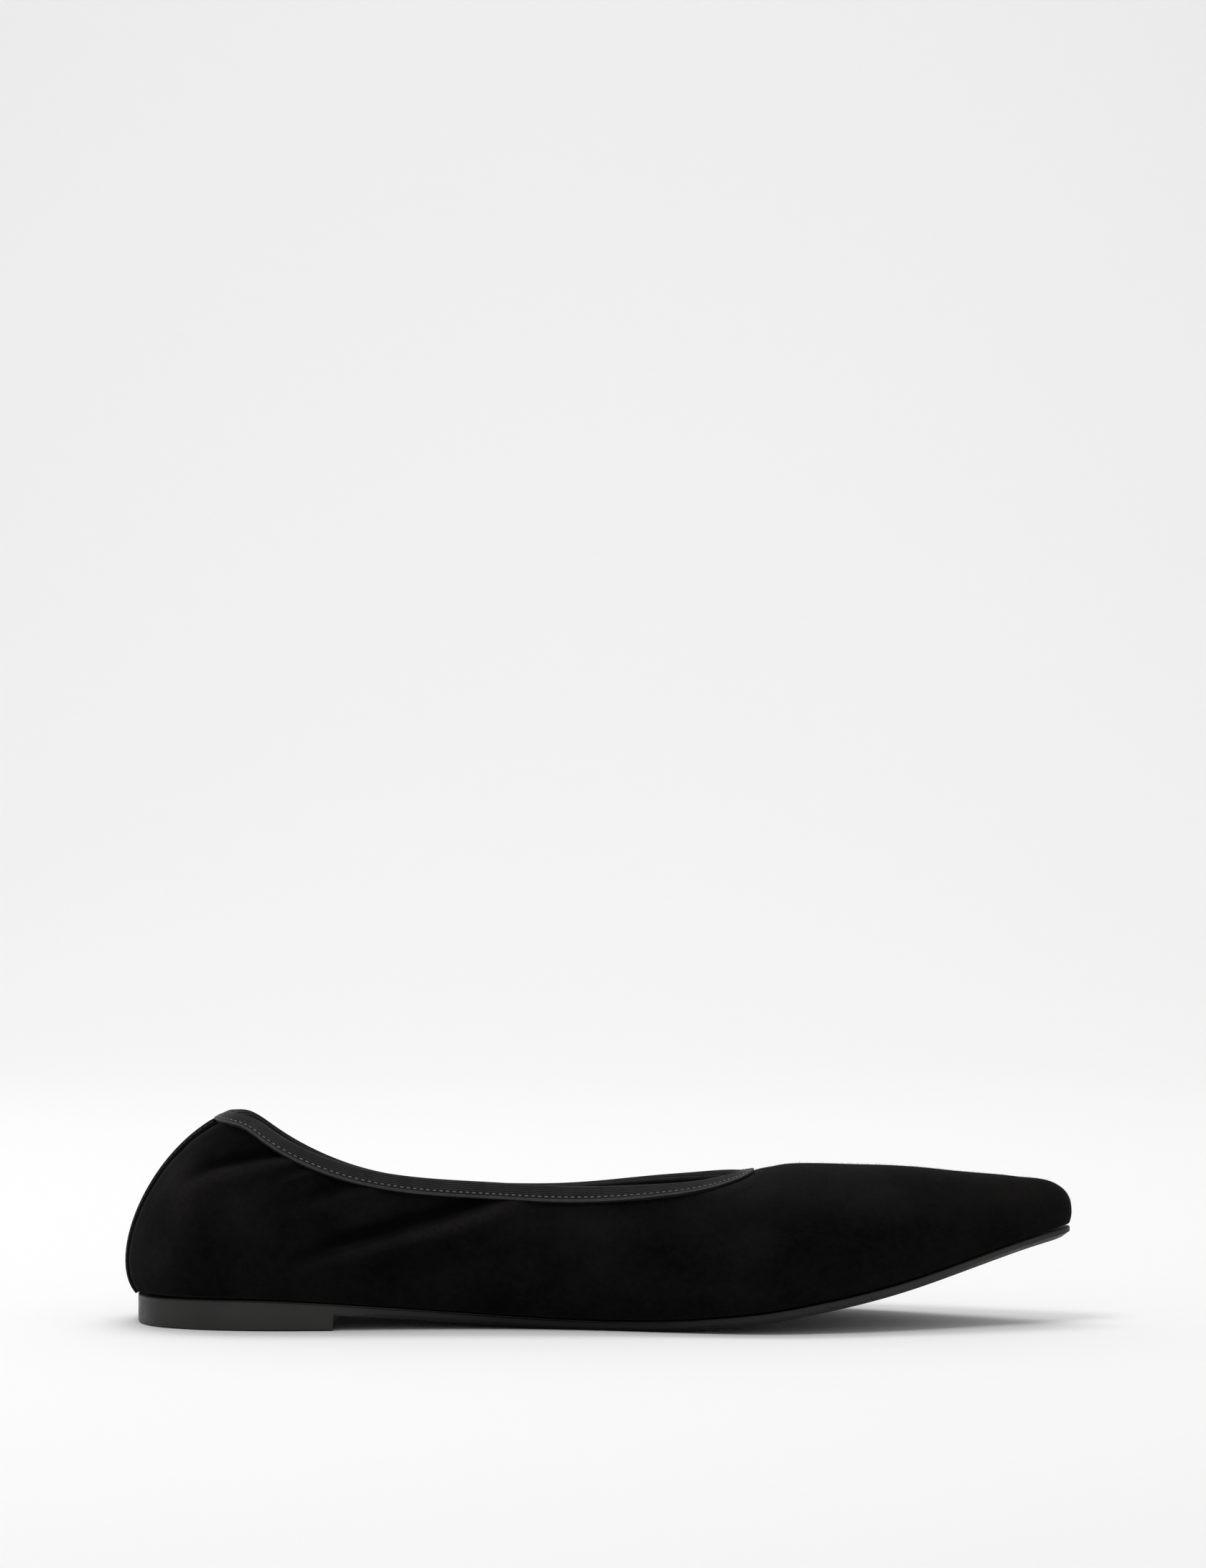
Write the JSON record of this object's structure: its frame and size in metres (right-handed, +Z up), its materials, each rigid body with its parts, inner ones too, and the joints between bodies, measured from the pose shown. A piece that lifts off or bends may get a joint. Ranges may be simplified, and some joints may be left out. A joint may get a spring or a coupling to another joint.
{
  "type": "pointed toe flat shoe",
  "caption": "Women's slip-on flat shoe with a pointed toe, soft suede upper, elastic collar tape and a low moulded sole.",
  "frame": {"origin": "on the floor under the middle of the heel", "axes": "+X towards the toe, +Z up, -Y towards the inner side of the foot"},
  "size_m": [0.2631, 0.0795, 0.0581],
  "materials": {
    "suede": "matt napped suede",
    "elastic": "ribbed woven elastic",
    "outsole": "satin moulded rubber",
    "insole": "smooth sock lining"
  },
  "bodies": {
    "root": {"outsole": "outsole", "insole": "insole", "upper": "suede", "back_strip": "suede", "collar_binding": "elastic"}
  },
  "joints": []
}
